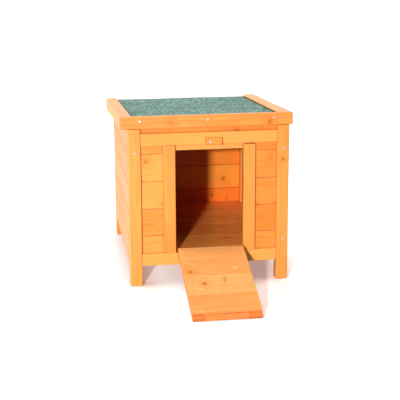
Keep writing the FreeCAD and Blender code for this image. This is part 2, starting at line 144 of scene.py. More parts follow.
def empty_material(name):
    """A node material with nothing in it yet, and its tree."""
    material = bpy.data.materials.new(name)
    material.use_nodes = True
    material.node_tree.nodes.clear()
    return material, material.node_tree


def seen_directly(tree):
    """One for what the camera sees straight, in a gloss or through glass."""
    path = add_node(tree, "LightPath").outputs
    gloss = math_node(tree, "MAXIMUM", path["Is Camera Ray"], path["Is Glossy Ray"])
    return math_node(tree, "MAXIMUM", gloss, path["Is Transmission Ray"])


WHITE = (1.0, 1.0, 1.0)
WORLD_LIGHT, WORLD_SEEN = 0.04, 1.0
world = bpy.data.worlds.new("studio_world")
scene.world = world
world.use_nodes = True
tree = world.node_tree
tree.nodes.clear()
dim, bright = [
    add_node(tree, "Background", {"Color": (*WHITE, 1.0), "Strength": strength}).outputs[0]
    for strength in (WORLD_LIGHT, WORLD_SEEN)]
world_mix = add_node(tree, "MixShader", {0: seen_directly(tree), 1: dim, 2: bright})
add_node(tree, "OutputWorld", {"Surface": world_mix.outputs[0]})

FLOOR_HALF, FLOOR_DROP = 9.0, 0.0002
FLOOR_SEEN, FLOOR_BOUNCE = (0.98, 0.92, 0.90), (0.3, 0.29, 0.28)
# The glow that whitens the floor, by shares of the way from left to right, in front and far off.
# Near the house it is tinted red: painted warm bounce light in the house's shadow.
GLOW_WAY = (-0.25, 0.45)
GLOWS_AND_PAINTED_BOUNCE = (
    (0.0, (0.45, 0.45, 0.45)), (0.13, (0.16, 0.03, 0.01)), (0.2, (0.21, 0.215, 0.2)),
    (0.62, (0.25, 0.152, 0.125)), (0.85, (0.9, 0.9, 0.9)))
GLOW_FRONT, FRONT_SHARE = (-0.08, -0.17), 0.2
GLOW_FAR = (0.35, 1.6)
floor_mesh = bpy.data.meshes.new("studio_floor")
floor_ends = ((-1, -1), (1, -1), (1, 1), (-1, 1))
floor_corners = [(FLOOR_HALF * x, FLOOR_HALF * y, -FLOOR_DROP) for x, y in floor_ends]
floor_mesh.from_pydata(floor_corners, [], [(0, 1, 2, 3)])
studio_floor = add_object("studio_floor", floor_mesh)
floor_material, tree = empty_material("studio_floor")
floor_seen = seen_directly(tree)
floor_place = own_place(tree)
floor_parts = split(tree, "XYZ", floor_place)
far = ease(tree, vector_node(tree, "LENGTH", floor_place), *GLOW_FAR)
in_front = ease(tree, floor_parts["Y"], *GLOW_FRONT, 0.0, FRONT_SHARE)
near_glow_and_bounce = colour_ramp(tree, ease(tree, floor_parts["X"], *GLOW_WAY, way="LINEAR"), GLOWS_AND_PAINTED_BOUNCE)
glow_colour = mix_colour(tree, math_node(tree, "MAXIMUM", far, in_front), near_glow_and_bounce, WHITE)
floor_glow = add_node(tree, "Emission", {"Color": glow_colour, "Strength": floor_seen})
floor_colour = mix_colour(tree, floor_seen, FLOOR_BOUNCE, FLOOR_SEEN)
floor_paint = add_node(tree, "BsdfDiffuse", {"Color": floor_colour})
floor_sum = add_node(tree, "AddShader", {0: floor_paint.outputs[0], 1: floor_glow.outputs[0]})
add_node(tree, "OutputMaterial", {"Surface": floor_sum.outputs[0]})
floor_mesh.materials.append(floor_material)


def studio_lamp(name, place, target, width, height, watts, spread):
    """A soft lamp that faces a point and sheds no light beyond its spread in degrees."""
    lamp = bpy.data.lights.new(name, "AREA")
    lamp.shape = "RECTANGLE"
    lamp.size = width
    lamp.size_y = height
    lamp.energy = watts
    lamp.spread = math.radians(spread)
    aim = (Vector(target) - Vector(place)).to_track_quat("-Z", "Y")
    add_object(name, lamp).matrix_world = Matrix.Translation(place) @ aim.to_matrix().to_4x4()


KEY_AIM = Vector((0.007, -0.113, 0.22))
KEY_SIDE, KEY_RISE = math.radians(20.3), math.radians(14.2)
KEY_AWAY, KEY_WIDE, KEY_TALL, KEY_WATTS = 4.0, 0.2, 0.12, 160.0
ALL_ROUND = 180.0
key_way = Vector((
    -math.sin(KEY_SIDE) * math.cos(KEY_RISE), -math.cos(KEY_SIDE) * math.cos(KEY_RISE),
    math.sin(KEY_RISE)))
key_place = KEY_AIM + KEY_AWAY * key_way
studio_lamp("key_lamp", key_place, KEY_AIM, KEY_WIDE, KEY_TALL, KEY_WATTS, ALL_ROUND)
FILL_LAMPS = (
    ("top_lamp", (-0.4, -0.7, 3.2), (0.0, 0.0, 0.2), 2.0, 35.0, ALL_ROUND),
    ("left_lamp", (-2.4, 0.6, 0.8), (-0.2, 0.15, 0.25), 1.2, 7.5, 70.0),
    ("right_lamp", (2.4, 0.8, 0.9), (0.2, 0.2, 0.25), 1.2, 2.5, 50.0),
    ("rear_lamp", (0.3, 2.3, 2.4), (0.0, 0.3, 0.25), 1.2, 4.0, 50.0),
)
for name, place, target, side, watts, spread in FILL_LAMPS:
    studio_lamp(name, place, target, side, side, watts, spread)

# Corner posts: square softwood, planed, oiled, with eased arrises. They are also the legs, rebated
# for the wall boards, so each is shaped from its solid. In the wood of every piece, rings run round
# a heart beside it, bend round knots, and show as lines on faces and arcs on ends.


def add_sockets(tree, way, kinds):
    """Named sockets by their kinds, and the identifiers that they are set by."""
    add = partial(tree.interface.new_socket, in_out=way)
    return {
        label: add(label, socket_type=f"NodeSocket{kind}").identifier
        for kind, labels in kinds.items() for label in labels}


def new_group(name, inputs, outputs):
    """An empty shader group with named sockets, what it is given and what it puts out."""
    tree = bpy.data.node_groups.new(name, "ShaderNodeTree")
    add_sockets(tree, "INPUT", inputs)
    add_sockets(tree, "OUTPUT", outputs)
    given = add_node(tree, "GroupInput", family="Node").outputs
    return tree, given, add_node(tree, "GroupOutput", family="Node").inputs


def join(tree, **parts):
    """A vector from its parts."""
    return add_node(tree, "CombineXYZ", parts).outputs[0]


def noise(tree, vector, scale, detail, roughness=0.55):
    """Noise over a vector whose three directions have their own scales."""
    stretched = vector_node(tree, "MULTIPLY", vector, scale)
    inputs = {"Vector": stretched, "Scale": 1.0, "Detail": detail, "Roughness": roughness}
    return add_node(tree, "TexNoise", inputs).outputs


END_WOOD, END_SHARE = (0.82, 0.185, 0.025), 0.6
KNOT_WOOD, KNOT_SHARE = (0.42, 0.098, 0.008), 0.82
# Faces towards the cabin are multiplied darker by this colour: painted shade for the inside.
INNER_PAINTED_SHADE = (0.24, 0.12, 0.07)
STREAK_WOOD, STREAK_EDGE = (0.41, 0.086, 0.015), (0.62, 0.74)
SCUFFED_WOOD, SCUFF_EDGE = (0.98, 0.80, 0.46), (0.60, 0.78)
BOARDS_APART = (9.0, 9.0, 9.0)
WARP_SCALE, WARP_WIDE, WARP_DEEP = (2.4, 11.0, 11.0), 0.022, 0.018
DRIFT_SCALE = (3.0, 10.0, 10.0)
FIBRE_SCALE, FIBRE_ROUGHNESS = (10.0, 520.0, 520.0), 0.65
STREAK_SCALE = (13.0, 210.0, 210.0)
SCUFF_SCALE = (40.0, 62.0, 62.0)
KNOT_CELLS, KNOT_SHIFT = (5.2, 12.0), (31.0, 17.0)
KNOT_LEAST, KNOT_RANGE, KNOT_EDGE = 0.032, 0.03, (1.15, 0.75)
SWIRL_EDGE, SWIRL_BEND = (5.0, 0.6), 0.007
HEART_WIDE, HEART_DEEP, HEART_OFF = 0.08, 0.04, 0.014
RINGS_LEAST, RINGS_RANGE = 190.0, 150.0
LATE_RISE, LATE_DROP = (0.25, 0.86), (1.0, 0.93)
LATE_SHADE, SWIRL_SHADE, END_SHADE = 0.30, 0.25, 0.35
DRIFT_SHADE, DRIFT_MIDDLE, FIBRE_SHADE, FIBRE_MIDDLE = 0.95, 0.51, 0.5, 0.27
PLANED_ROUGH, FIBRE_ROUGH, LATE_SMOOTH = 0.42, 0.16, 0.10
LATE_RAISED, FIBRE_RAISED, KNOT_SUNK = 0.6, 0.7, 0.4


def make_softwood_group():
    """The shader group of softwood, with a board's rings, fibres, knots, streaks and scuffs."""
    tree, given, result = new_group(
        "softwood",
        {"Vector": ["Grain"], "Color": ["Pale", "Deep"],
         "Float": ["Plank", "Tone", "Knots", "Set Knot", "Set Swirl", "End", "Inside", "Streaks",
                   "Scuffs"]},
        {"Color": ["Color"], "Float": ["Roughness", "Height"], "Vector": ["Own Grain"]})
    calc = partial(math_node, tree)
    times = partial(calc, "MULTIPLY")
    scaled = partial(calc, "MULTIPLY_ADD")
    step = partial(ease, tree)
    mix = partial(mix_colour, tree)
    chance = add_node(tree, "TexWhiteNoise", {"W": given["Plank"]}, noise_dimensions="1D")
    chances = split(tree, "Color", chance.outputs["Color"])
    apart = vector_node(tree, "MULTIPLY", chance.outputs["Color"], BOARDS_APART)
    own = vector_node(tree, "ADD", given["Grain"], apart)
    along = split(tree, "XYZ", given["Grain"])
    warp = split(tree, "Color", noise(tree, own, WARP_SCALE, detail=2.0)["Color"])
    fibre = noise(tree, own, FIBRE_SCALE, detail=3.0, roughness=FIBRE_ROUGHNESS)["Fac"]
    drift = noise(tree, own, DRIFT_SCALE, detail=2.0)["Fac"]

    knot_x, knot_y = [
        scaled(along[k], KNOT_CELLS[k], times(chances[k], KNOT_SHIFT[k])) for k in range(2)]
    cells = {"Vector": join(tree, X=knot_x, Y=knot_y), "Scale": 1.0}
    cell = add_node(tree, "TexVoronoi", cells, voronoi_dimensions="2D").outputs
    cell_chance = split(tree, "Color", cell["Color"])
    here = calc("LESS_THAN", cell_chance[0], given["Knots"])
    knot_size = scaled(cell_chance[1], KNOT_RANGE, KNOT_LEAST)
    knot_near = calc("DIVIDE", cell["Distance"], knot_size)
    own_knot = times(step(knot_near, *KNOT_EDGE), here)
    own_swirl = times(step(knot_near, *SWIRL_EDGE), here)
    knot = calc("MAXIMUM", own_knot, given["Set Knot"])
    swirl = calc("MAXIMUM", own_swirl, given["Set Swirl"])

    heart_y = scaled(chances[0], HEART_WIDE, -HEART_WIDE / 2)
    heart_z = scaled(chances[1], -HEART_DEEP, -HEART_OFF)
    off_y = calc("SUBTRACT", along["Y"], heart_y)
    off_y = calc("ADD", off_y, scaled(warp[0], WARP_WIDE, -WARP_WIDE / 2))
    off_y = scaled(swirl, SWIRL_BEND, off_y)
    off_z = calc("SUBTRACT", along["Z"], heart_z)
    off_z = calc("ADD", off_z, scaled(warp[1], WARP_DEEP, -WARP_DEEP / 2))
    radius = vector_node(tree, "LENGTH", join(tree, X=off_y, Y=off_z))
    rings = scaled(chances[2], RINGS_RANGE, RINGS_LEAST)
    ring = calc("FRACT", times(radius, rings))
    late = times(step(ring, *LATE_RISE), step(ring, *LATE_DROP))

    shade = given["Tone"]
    marks = (
        (late, LATE_SHADE, 0.0), (drift, DRIFT_SHADE, DRIFT_MIDDLE),
        (fibre, FIBRE_SHADE, FIBRE_MIDDLE), (swirl, SWIRL_SHADE, 0.0),
        (given["End"], END_SHADE, 0.0))
    for mark, weight, middle in marks:
        shade = scaled(mark, weight, calc("SUBTRACT", shade, middle))
    streak = step(noise(tree, own, STREAK_SCALE, detail=2.0)["Fac"], *STREAK_EDGE)
    scuff = step(noise(tree, own, SCUFF_SCALE, detail=3.0)["Fac"], *SCUFF_EDGE)
    colour = mix(shade, given["Pale"], given["Deep"])
    colour = mix(times(given["End"], END_SHARE), colour, END_WOOD)
    # Painted shade: faces that face the cabin are darkened.
    colour = mix(given["Inside"], colour, INNER_PAINTED_SHADE, "MULTIPLY")
    colour = mix(times(knot, KNOT_SHARE), colour, KNOT_WOOD)
    colour = mix(times(streak, given["Streaks"]), colour, STREAK_WOOD)
    colour = mix(times(scuff, given["Scuffs"]), colour, SCUFFED_WOOD)
    rough = scaled(late, -LATE_SMOOTH, scaled(fibre, FIBRE_ROUGH, PLANED_ROUGH))
    height = scaled(late, LATE_RAISED, times(fibre, FIBRE_RAISED))
    height = scaled(knot, -KNOT_SUNK, height)
    found = {"Color": colour, "Roughness": rough, "Height": height, "Own Grain": own}
    for label, value in found.items():
        tree.links.new(value, result[label])
    return tree


ARRIS_REACH, ARRIS_BEND = 0.0025, (0.995, 0.86)
RUB_SCALE, RUB_EDGE = (35.0, 90.0, 90.0), (0.38, 0.62)
WORN_WOOD = (0.98, 0.80, 0.37)


def make_arris_group():
    """The shader group of arrises that hands and paws rub: the oil is gone and the wood paler."""
    inputs = {"Color": ["Color", "Worn"], "Vector": ["Grain"], "Float": ["Wear"]}
    tree, given, result = new_group("worn_arris", inputs, {"Color": ["Color"]})
    soft = add_node(tree, "Bevel", {"Radius": ARRIS_REACH}, samples=4).outputs[0]
    flat = add_node(tree, "NewGeometry").outputs["Normal"]
    edge = ease(tree, vector_node(tree, "DOT_PRODUCT", soft, flat), *ARRIS_BEND)
    rubbed = ease(tree, noise(tree, given["Grain"], RUB_SCALE, detail=3.0)["Fac"], *RUB_EDGE)
    wear = math_node(tree, "MULTIPLY", math_node(tree, "MULTIPLY", edge, rubbed), given["Wear"])
    tree.links.new(mix_colour(tree, wear, given["Color"], given["Worn"]), result["Color"])
    return tree


JOINT_REACH, JOINT_EDGE = 0.004, (0.80, 0.42)
SHADE_BREAK_SCALE, SHADE_BREAK_STEP = (28.0, 60.0, 60.0), (0.36, 0.66, 0.3, 1.0)
# Painted shade: the colour mixed in where ambient occlusion finds a joint or an inner corner.
JOINT_PAINTED_SHADE = (0.245, 0.061, 0.015)


def make_joint_shade_group():
    """The shader group of painted shade where two pieces meet: ambient occlusion darkens the colour
    there, unevenly.
    """
    inputs = {"Color": ["Color"], "Vector": ["Grain"], "Float": ["Joint Shade"]}
    tree, given, result = new_group("joint_painted_shade", inputs, {"Color": ["Color"]})
    gap = add_node(tree, "AmbientOcclusion", {"Distance": JOINT_REACH}, samples=6).outputs["AO"]
    uneven = ease(tree, noise(tree, given["Grain"], SHADE_BREAK_SCALE, detail=3.0)["Fac"], *SHADE_BREAK_STEP)
    joint_shade = math_node(tree, "MULTIPLY", ease(tree, gap, *JOINT_EDGE), given["Joint Shade"])
    joint_shade = math_node(tree, "MULTIPLY", joint_shade, uneven)
    tree.links.new(mix_colour(tree, joint_shade, given["Color"], JOINT_PAINTED_SHADE), result["Color"])
    return tree


softwood_group = make_softwood_group()
arris_group = make_arris_group()
joint_shade_group = make_joint_shade_group()
KNOT_RAGGED, KNOT_TORN = (260.0, 260.0, 260.0), 1.6
KNOT_RIM, RIM_SHARE, KNOT_CORE, CORE_SHARE = (1.25, 0.95), 0.45, (0.8, 0.35), 0.55
NOISE_MIDDLE = (0.5, 0.5, 0.5)
GRAIN_STRENGTH, GRAIN_DEPTH = 0.3, 0.0006


def end_material(tree, inputs):
    """Closes a material with one shader."""
    shader = add_node(tree, "BsdfPrincipled", inputs)
    add_node(tree, "OutputMaterial", {"Surface": shader.outputs[0]})


def softwood(name, honey, set_knots=(), knots=0.0, gloss=0.3, polish=1.0, wear=0.35, joint_shade=0.85,
             streaks=0.15, scuffs=0.0):
    """The oiled softwood of one group of boards, with set knots beside those left to chance."""
    material, tree = empty_material(name)
    inputs = {"Knots": knots, "Streaks": streaks, "Scuffs": scuffs}
    inputs["Pale"], inputs["Deep"] = [(*colour, 1.0) for colour in honey]
    for label in ("Grain", "Plank", "Tone", "End", "Inside"):
        mark = add_node(tree, "Attribute", attribute_name=label.lower())
        inputs[label] = mark.outputs["Vector" if label == "Grain" else "Fac"]
    if set_knots:
        place = own_place(tree)
        ragged = noise(tree, place, KNOT_RAGGED, detail=2.0)["Color"]
        ragged = vector_node(tree, "SUBTRACT", ragged, NOISE_MIDDLE)
        spot = swirl = 0.0
        for centre, size, strength in set_knots:
            torn = vector_node(tree, "MULTIPLY", ragged, (size * KNOT_TORN,) * 3)
            away = vector_node(tree, "DISTANCE", vector_node(tree, "ADD", place, torn), centre)
            near = math_node(tree, "DIVIDE", away, size)
            rim = ease(tree, near, *KNOT_RIM, 0.0, RIM_SHARE * strength)
            core = ease(tree, near, *KNOT_CORE, 0.0, CORE_SHARE * strength)
            spot = math_node(tree, "MAXIMUM", spot, math_node(tree, "ADD", rim, core))
            swirl = math_node(tree, "MAXIMUM", swirl, ease(tree, near, *SWIRL_EDGE))
        inputs.update({"Set Knot": spot, "Set Swirl": swirl})
    wood = add_node(tree, "Group", inputs, node_tree=softwood_group).outputs
    grain = wood["Own Grain"]
    rubbed = {"Color": wood["Color"], "Grain": grain, "Wear": wear, "Worn": (*WORN_WOOD, 1.0)}
    worn = add_node(tree, "Group", rubbed, node_tree=arris_group).outputs["Color"]
    # Painted shade in the joints and inner corners, from ambient occlusion, broken up by noise.
    shade_inputs = {"Color": worn, "Grain": grain, "Joint Shade": joint_shade}
    shaded_colour = add_node(tree, "Group", shade_inputs, node_tree=joint_shade_group).outputs["Color"]
    bump = add_node(tree, "Bump", {
        "Strength": GRAIN_STRENGTH, "Distance": GRAIN_DEPTH, "Height": wood["Height"]})
    end_material(tree, {
        "Base Color": shaded_colour, "Normal": bump.outputs[0], "Specular IOR Level": gloss,
        "Roughness": math_node(tree, "MULTIPLY", wood["Roughness"], polish)})
    return material


UNIT = {"X": Vector((1, 0, 0)), "Y": Vector((0, 1, 0)), "Z": Vector((0, 0, 1))}
GRAIN_AXES = {"x": "XZY", "y": "YZX", "z": "ZXY"}
GOLDEN_SHARE = 0.61803
FACING, BEYOND = 0.7, 2.0
plank_count = count(1)


def next_plank():
    """A number of its own for each board, always in the same order."""
    return (next(plank_count) * GOLDEN_SHARE) % 1.0


def write_values(mesh, label, values, domain="POINT", kind="FLOAT"):
    """Writes one attribute onto a mesh."""
    field = "vector" if kind == "FLOAT_VECTOR" else "value"
    mesh.attributes.new(label, kind, domain).data.foreach_set(field, values)


def mark_faces(mesh, end_axis, inward, least=FACING, most=BEYOND):
    """Marks faces across the fibres, by their lean to an axis, and those that face the cabin."""
    leans = [0.0 if end_axis is None else abs(face.normal.dot(end_axis)) for face in mesh.polygons]
    write_values(mesh, "end", [float(least < lean < most) for lean in leans], "FACE")
    inside = [
        float(inward is not None and face.normal.dot(inward) > FACING) for face in mesh.polygons]
    write_values(mesh, "inside", inside, "FACE")


def add_piece(name, mesh, body, nodes):
    """A finished piece that rides on a body, in place of the nodes that it shows."""
    piece = add_object(name, mesh)
    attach(piece, body)
    if nodes:
        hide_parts(*nodes)


PLANED_ARRIS = 0.0014
ARRIS_STEPS, ARRIS_PROFILE = 3, 0.5
ARRIS_SHARP, ARRIS_SHORTEST, ARRIS_FACE = math.radians(50), 0.006, 0.012
SAME_POINT, SAME_PLANE = 1e-6, math.radians(0.5)


def timber(node, body, along, tone, material, arris=PLANED_ARRIS, lean=0.0, inward=None):
    """A timber in its CAD solid's place, with that shape, eased arrises and its grain map."""
    shape = bmesh.new()
    shape.from_mesh(frame["nodes"][node].data)
    bmesh.ops.remove_doubles(shape, verts=shape.verts, dist=SAME_POINT)
    bmesh.ops.dissolve_limit(shape, angle_limit=SAME_PLANE, verts=shape.verts, edges=shape.edges)
    least = ARRIS_FACE * max(face.calc_area() for face in shape.faces)
    arrises = [
        edge for edge in shape.edges
        if edge.is_manifold and edge.calc_face_angle_signed() > ARRIS_SHARP
        and edge.calc_length() > ARRIS_SHORTEST
        and min(face.calc_area() for face in edge.link_faces) > least]
    bmesh.ops.bevel(shape, geom=arrises, offset=arris, segments=ARRIS_STEPS, profile=ARRIS_PROFILE,
                    affect="EDGES", clamp_overlap=True)
    mesh = bpy.data.meshes.new(f"{node}_timber")
    shape.to_mesh(mesh)
    shape.free()
    turn = Matrix.Rotation(lean, 3, "X")
    axes = [turn @ UNIT[name] for name in GRAIN_AXES[along]]
    rows = [[vertex.co.dot(axis) for axis in axes] for vertex in mesh.vertices]
    middle = [(min(row[k] for row in rows) + max(row[k] for row in rows)) / 2 for k in range(3)]
    grain = [row[k] - middle[k] for row in rows for k in range(3)]
    write_values(mesh, "grain", grain, kind="FLOAT_VECTOR")
    write_values(mesh, "plank", [next_plank()] * len(rows))
    write_values(mesh, "tone", [tone] * len(rows))
    mark_faces(mesh, axes[0], inward)
    mesh.materials.append(material)
    add_piece(f"{node}_timber", mesh, body, [node])


house_middle = (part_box("post_front_left")[0].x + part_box("post_front_right")[1].x) / 2
house_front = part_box("post_front_left")[0].y


def upright_knots(face_y, spots):
    """Knots on a face across the house: how far from its middle, how high, large and dark."""
    return [(Vector((house_middle + x, face_y, z)), size, dark) for x, z, size, dark in spots]


HONEY = ((0.98, 0.459, 0.101), (0.97, 0.254, 0.031))
REAR_POST_HONEY = ((0.97, 0.405, 0.074), (0.94, 0.233, 0.025))
POST_KNOTS = ((0.185, 0.314, 0.0042, 1.0),)
POST_ARRIS = 0.002
post_wood = softwood("post_softwood", HONEY, upright_knots(house_front, POST_KNOTS))
rear_post_wood = softwood("rear_post_softwood", REAR_POST_HONEY)
POSTS = (("front_left", 0.22, post_wood), ("front_right", 0.50, post_wood),
         ("rear_left", 0.45, rear_post_wood), ("rear_right", 0.60, rear_post_wood))
for corner, tone, wood in POSTS:
    timber(f"post_{corner}", "house", "z", tone, wood, POST_ARRIS)

# Side walls: tongued softwood boards in five level courses with a small chamfer along each joint.
# They lap into the posts' rebates and are bradded there. The top course is cut to the fall of the
# roof, and the inner faces are darkened with painted shade for the cabin.


def new_maker(name, inputs, result):
    """An empty tree that makes a mesh, what it is given, and its inputs' identifiers."""
    tree = bpy.data.node_groups.new(name, "GeometryNodeTree")
    tree.is_modifier = True
    identifiers = add_sockets(tree, "INPUT", inputs)
    add_sockets(tree, "OUTPUT", {"Geometry": [result]})
    return tree, add_node(tree, "GroupInput", family="Node").outputs, identifiers


def geometry(tree, kind, inputs=None, **settings):
    """What a geometry node puts out first."""
    return add_node(tree, kind, inputs, "GeometryNode", **settings).outputs[0]


def made_mesh(name, start, tree, identifiers, sizes):
    """The plain mesh that a tree makes from a starting mesh and its inputs."""
    holder = add_object(f"{name}_maker", start)
    modifier = holder.modifiers.new("maker", "NODES")
    modifier.node_group = tree
    for label, value in sizes.items():
        modifier[identifiers[label]] = value
    holder.update_tag()
    shown = holder.evaluated_get(bpy.context.evaluated_depsgraph_get())
    mesh = bpy.data.meshes.new_from_object(shown)
    mesh.name = name
    mesh.shade_flat()
    bpy.data.objects.remove(holder)
    return mesh


def make_courses_tree():
    """The tree that stacks tongued boards and cuts them at a low line and a falling top line."""
    tree, given, identifiers = new_maker(
        "board_courses",
        {"Float": ["Run", "Thickness", "Cover", "Joint", "Tongue", "Base", "Low", "High", "Fall",
                   "Chamfer", "Grain Start"],
         "Int": ["Courses"], "Material": ["Timber"]},
        "Boards")
    calc = partial(math_node, tree)
    make = partial(geometry, tree)
    board_height = calc("SUBTRACT", given["Cover"], given["Joint"])
    oblong = partial(make, "CurvePrimitiveQuadrilateral")
    outline = oblong({"Width": given["Thickness"], "Height": board_height})
    corners = {"Curve": outline, "Count": 1, "Radius": given["Chamfer"]}
    chamfered = make("FilletCurve", corners, mode="POLY")
    tongue = oblong({"Width": given["Tongue"], "Height": given["Cover"]})
    run = make("CurvePrimitiveLine", {"End": join(tree, X=given["Run"])})
    board = add_node(tree, "JoinGeometry", family="GeometryNode")
    for profile in (chamfered, tongue):
        swept = make("CurveToMesh", {"Curve": run, "Profile Curve": profile, "Fill Caps": True})
        tree.links.new(swept, board.inputs[0])
    place = split(tree, "XYZ", make("InputPosition"))
    grain_x = calc("ADD", place["X"], given["Grain Start"])
    grain = join(tree, X=grain_x, Y=place["Z"], Z=place["Y"])
    mapped = {"Geometry": board.outputs[0], "Name": "grain", "Value": grain}
    grained = make("StoreNamedAttribute", mapped, data_type="FLOAT_VECTOR", domain="POINT")
    first_middle = calc("MULTIPLY_ADD", given["Cover"], 0.5, given["Base"])
    rows = make("MeshLine", {
        "Count": given["Courses"], "Start Location": join(tree, Z=first_middle),
        "Offset": join(tree, Z=given["Cover"])})
    stack = make("InstanceOnPoints", {"Points": rows, "Instance": grained})
    course = {"Geometry": stack, "Name": "course", "Value": make("InputIndex")}
    numbered = make("StoreNamedAttribute", course, data_type="FLOAT", domain="INSTANCE")
    real = make("RealizeInstances", {0: numbered})
    place = split(tree, "XYZ", make("InputPosition"))
    top = calc("SUBTRACT", given["High"], calc("MULTIPLY", place["X"], given["Fall"]))
    level = calc("MAXIMUM", calc("MINIMUM", place["Z"], top), given["Low"])
    cut_place = join(tree, X=place["X"], Y=place["Y"], Z=level)
    cut = make("SetPosition", {"Geometry": real, "Position": cut_place})
    boards = make("SetMaterial", {"Geometry": cut, "Material": given["Timber"]})
    add_node(tree, "GroupOutput", {0: boards}, "Node")
    return tree, identifiers


BOARD_CHAMFER, BOARD_JOINT, TONGUE_THICK = 0.0013, 0.0007, 0.003
CHAMFER_LEANS = (0.3, 0.9)
courses_tree, course_inputs = make_courses_tree()


def board_courses(name, nodes, tones, planks, place, inward=None, dark_joints=False, shaded_top_tone=None,
                  grain_start=0.0, **sizes):
    """A stack of boards as one plain mesh in its place, with each board's number and tone."""
    common = {"Low": sizes["Base"], "Fall": 0.0, "Grain Start": grain_start, "Joint": BOARD_JOINT,
              "Tongue": TONGUE_THICK, "Chamfer": BOARD_CHAMFER}
    start = bpy.data.meshes.new(f"{name}_maker")
    mesh = made_mesh(name, start, courses_tree, course_inputs, {**common, **sizes})
    courses = [round(item.value) for item in mesh.attributes["course"].data]
    board_tones = [tones[number] for number in courses]
    # Above its middle, the top board takes the shaded tone: painted shade under the fascia.
    if shaded_top_tone is not None:
        last_middle = sizes["Base"] + sizes["Cover"] * (sizes["Courses"] - 0.5)
        board_tones = [shaded_top_tone if vertex.co.z > last_middle else tone
                       for vertex, tone in zip(mesh.vertices, board_tones)]
    write_values(mesh, "plank", [planks[number] for number in courses])
    write_values(mesh, "tone", board_tones)
    mark_faces(mesh, UNIT["Z"] if dark_joints else None, inward, *CHAMFER_LEANS)
    mesh.transform(place)
    add_piece(name, mesh, "house", nodes)


COURSES = 5
joints = {joint["name"]: joint for joint in frame["joints"]}
lid_axis = joints["lid_hinge"]["axis"]
ROOF_SLOPE = math.atan2(-lid_axis[2], lid_axis[1])
ROOF_FALL = math.tan(ROOF_SLOPE)
# The side walls' wood is paler than the front's: painted light for the brightly lit left wall.
SIDE_PAINTED_LIGHT_HONEY = ((0.98, 0.427, 0.154), (0.96, 0.266, 0.06))
SIDE_KNOT_CHANCE = 0.16
SIDE_TONES = {"left": (0.20, 0.34, 0.15, 0.20, 0.16), "right": (0.45, 0.30, 0.55, 0.35, 0.48)}
SIDE_INWARD = {"left": -UNIT["Y"], "right": UNIT["Y"]}
LEFT_KNOTS = (
    (0.203, 0.2585, 0.0045, 0.9), (0.165, 0.2592, 0.0035, 0.8), (0.105, 0.2602, 0.003, 0.8))
left_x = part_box("left_board_1")[0].x
left_spots = [(Vector((left_x, house_front + y, z)), size, dark) for y, z, size, dark in LEFT_KNOTS]
side_wood = softwood(
    "side_wall_softwood", SIDE_PAINTED_LIGHT_HONEY, left_spots, SIDE_KNOT_CHANCE, gloss=0.12, wear=0.0)
quarter_turn = Matrix.Rotation(math.pi / 2, 4, "Z")
for side in ("left", "right"):
    low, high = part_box(f"{side}_board_1")
    board_courses(
        f"{side}_wall_boards", [f"{side}_board_{number}" for number in range(1, COURSES + 1)],
        SIDE_TONES[side], [next_plank() for number in range(COURSES)],
        Matrix.Translation(((low.x + high.x) / 2, low.y, 0.0)) @ quarter_turn,
        inward=SIDE_INWARD[side], dark_joints=True, Run=high.y - low.y, Thickness=high.x - low.x,
        Cover=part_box(f"{side}_board_2")[0].z - low.z, Courses=COURSES, Base=low.z,
        High=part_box(f"{side}_board_5")[1].z, Fall=ROOF_FALL, Timber=side_wood)

# Rear wall: five tongued softwood boards like those of the side walls, lapped into the rear posts.
# Its inside shows through the doorway, redder than the front, with three dark knots.
REAR_HONEY = ((0.99, 0.38, 0.040), (0.94, 0.202, 0.011))
REAR_TONES = (1.0, 0.42, 0.76, 0.68, 0.60)
REAR_KNOTS = ((0.114, 0.150, 0.007, 1.0), (0.080, 0.102, 0.0065, 1.0), (0.126, 0.089, 0.004, 1.0))
low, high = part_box("rear_board_1")
rear_spots = upright_knots(low.y, REAR_KNOTS)
rear_wood = softwood("rear_wall_softwood", REAR_HONEY, rear_spots, wear=0.0, joint_shade=0.3)
board_courses(
    "rear_wall_boards", [f"rear_board_{number}" for number in range(1, COURSES + 1)],
    REAR_TONES, [next_plank() for number in range(COURSES)],
    Matrix.Translation((low.x, (low.y + high.y) / 2, 0.0)), dark_joints=True, Run=high.x - low.x,
    Thickness=high.y - low.y, Cover=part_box("rear_board_2")[0].z - low.z, Courses=COURSES,
    Base=low.z, High=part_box("rear_board_5")[1].z - ROOF_FALL * (high.y - low.y), Timber=rear_wood)

# Front wall: a low and a top softwood board, cut out for the doorway, run across the whole front,
# and short boards stand between them in slots. Each full board is three lengths with one grain.
FRONT_KNOTS = (
    (-0.157, 0.317, 0.0058, 0.8), (-0.165, 0.268, 0.003, 0.8), (0.069, 0.389, 0.007, 1.0),
    (0.131, 0.165, 0.003, 0.8), (0.168, 0.1995, 0.0032, 0.7), (0.121, 0.1977, 0.003, 0.9),
    (-0.1176, 0.207, 0.003, 0.6), (0.156, 0.317, 0.005, 0.3))
